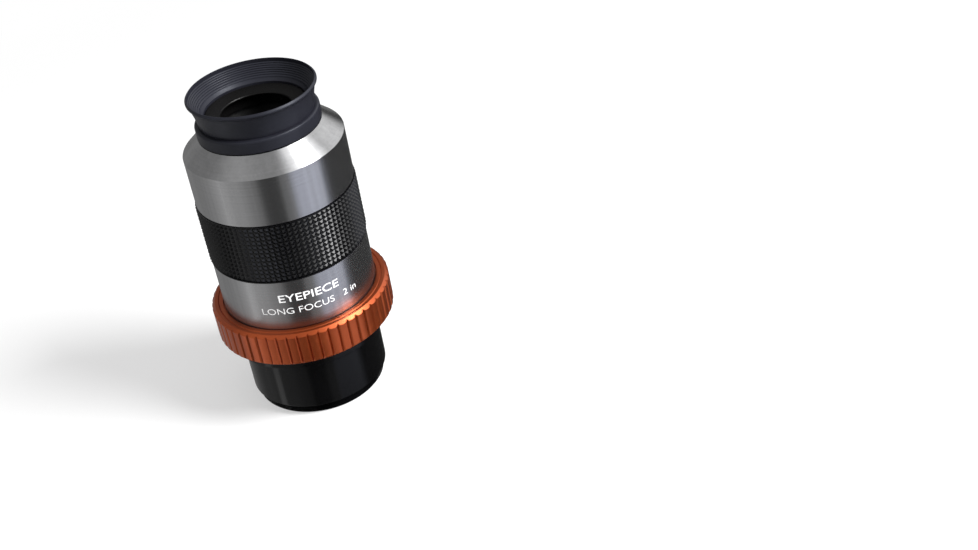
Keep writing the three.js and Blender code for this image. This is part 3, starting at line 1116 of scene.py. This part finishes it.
def reflected_light(tree, path, direction):
    """Strength of the soft boxes. Less of them is left after the second reflection, above all on the
    right."""
    across = shader(tree, "SeparateXYZ", {0: direction}).outputs[0]
    left_over = remap(tree, across, LEFT_OVER_LEFT, LEFT_OVER_RIGHT, -0.5, 0.5)
    depth = {0: path["Glossy Depth"], 1: 1.5}  # between the first reflection and the second
    beyond_first = shader(tree, "Math", depth, operation="GREATER_THAN").outputs[0]
    return remap(tree, beyond_first, 1.0, left_over)


WORLD_LIGHT = 0.34  # even light on matt surfaces


def world():
    """White to the camera, even light on matt surfaces, and the soft boxes in reflections."""
    made = bpy.data.worlds.new("studio")
    made.use_nodes = True
    tree = made.node_tree
    tree.nodes.clear()
    direction = shader(tree, "TexCoord").outputs["Generated"]
    path = shader(tree, "LightPath").outputs
    even = shader(tree, "Background", {"Color": (1, 1, 1, 1), "Strength": WORLD_LIGHT}).outputs[0]
    white = shader(tree, "Background", {"Color": (1, 1, 1, 1), "Strength": 1.0}).outputs[0]
    painted = {"Color": studio_colour(tree, direction), "Strength": reflected_light(tree, path, direction)}
    boxes = shader(tree, "Background", painted).outputs[0]
    lit = shader(tree, "MixShader", {0: path["Is Glossy Ray"], 1: even, 2: boxes}).outputs[0]
    seen = shader(tree, "MixShader", {0: path["Is Camera Ray"], 1: lit, 2: white}).outputs[0]
    shader(tree, "OutputWorld", {"Surface": seen})
    made.cycles.sampling_method = "NONE"
    bpy.context.scene.world = made


FLOOR_NEAR, FLOOR_FAR = 0.1, 0.5  # where the floor starts and ends turning into the backdrop, in metres
FLOOR_GLOW = 0.45  # share of the backdrop's white in the floor close to the object
FLOOR_SIZE = 4
FLOOR_DROP = 0.05 * MM  # below the object


def floor():
    """Pale floor that runs into a white backdrop. Reflections see the soft boxes in place of it, as they
    would on a glass table."""
    data = bpy.data.meshes.new("floor")
    mesh = bmesh.new()
    bmesh.ops.create_grid(mesh, x_segments=1, y_segments=1, size=FLOOR_SIZE)
    mesh.to_mesh(data)
    mesh.free()
    piece = new_object("floor", data)
    piece.location.z = cad_box[0].z - FLOOR_DROP
    look, tree = new_material("pale floor")
    incoming = shader(tree, "NewGeometry").outputs["Incoming"]
    direction = shader(tree, "VectorMath", {0: incoming, "Scale": -1.0}, operation="SCALE").outputs[0]
    speckle = noise(tree, (900, 900, 900), detail=2)
    pale = tint(tree, speckle, grey(0.86), grey(0.90))
    paint = shader(tree, "BsdfDiffuse", {"Color": pale}).outputs[0]
    path = shader(tree, "LightPath").outputs
    painted = {"Color": studio_colour(tree, direction), "Strength": reflected_light(tree, path, direction)}
    boxes = shader(tree, "Emission", painted).outputs[0]
    through_glass = path["Is Transmission Ray"]
    reflected = shader(tree, "Math", {0: path["Is Glossy Ray"], 1: through_glass}, operation="SUBTRACT")
    mixed = shader(tree, "MixShader", {0: reflected.outputs[0], 1: paint, 2: boxes}).outputs[0]
    reach = shader(tree, "VectorMath", {0: shader(tree, "TexCoord").outputs["Object"]}, operation="LENGTH")
    far = remap(tree, reach.outputs["Value"], FLOOR_GLOW, 1, FLOOR_NEAR, FLOOR_FAR)
    fade = shader(tree, "Math", {0: far, 1: path["Is Camera Ray"]}, operation="MULTIPLY").outputs[0]
    white = shader(tree, "Emission", {"Color": (1, 1, 1, 1), "Strength": 1.0}).outputs[0]
    seen = shader(tree, "MixShader", {0: fade, 1: mixed, 2: white}).outputs[0]
    shader(tree, "OutputMaterial", {"Surface": seen})
    look.cycles.emission_sampling = "NONE"
    piece.data.materials.append(look)


def area_light(name, azimuth, elevation, distance, size, power, mirrored=False):
    """A soft light aimed at the middle of the object. It lights matt surfaces and casts the shadows, or,
    if it is mirrored, it is only seen in reflections."""
    data = bpy.data.lights.new(name, "AREA")
    data.shape = "DISK"
    data.size = size
    data.energy = power
    light = new_object(name, data)
    turn, rise = math.radians(azimuth), math.radians(elevation)
    away = Vector((math.sin(turn) * math.cos(rise), -math.cos(turn) * math.cos(rise), math.sin(rise)))
    middle = (cad_box[0] + cad_box[1]) / 2
    light.location = middle + away * distance
    light.rotation_euler = away.to_track_quat("Z", "Y").to_euler()
    light.visible_glossy = mirrored
    light.visible_diffuse = not mirrored
    light.visible_transmission = not mirrored


CAMERA_PLACE = (0, -0.4816, 0.3517)
CAMERA_AIM = (0.1320, 0.8222, -0.5536)
CAMERA_UP = (0.2420, 0.5150, 0.8223)
FOCAL_LENGTH = 51.3  # on a sensor 36 mm wide


def camera():
    """Looks down at the object from the front, tilted to the left as a hand-held picture is."""
    data = bpy.data.cameras.new("camera")
    data.sensor_width = 36
    data.lens = FOCAL_LENGTH
    data.clip_start = 0.01
    made = new_object("camera", data)
    forward = Vector(CAMERA_AIM).normalized()
    right = forward.cross(Vector(CAMERA_UP)).normalized()
    up = right.cross(forward)
    turn = Matrix((right, up, -forward)).transposed()
    made.matrix_world = Matrix.Translation(CAMERA_PLACE) @ turn.to_4x4()
    bpy.context.scene.camera = made


world()
floor()
area_light("key", azimuth=62, elevation=42, distance=0.9, size=0.45, power=18)
area_light("fill", azimuth=-70, elevation=35, distance=1.0, size=0.7, power=1.5)
area_light("top", azimuth=0, elevation=88, distance=1.0, size=0.8, power=1.5)
area_light("key_reflection", azimuth=67, elevation=48, distance=1.0, size=0.38, power=3.7, mirrored=True)
camera()

bpy.context.scene.view_settings.view_transform = "Standard"
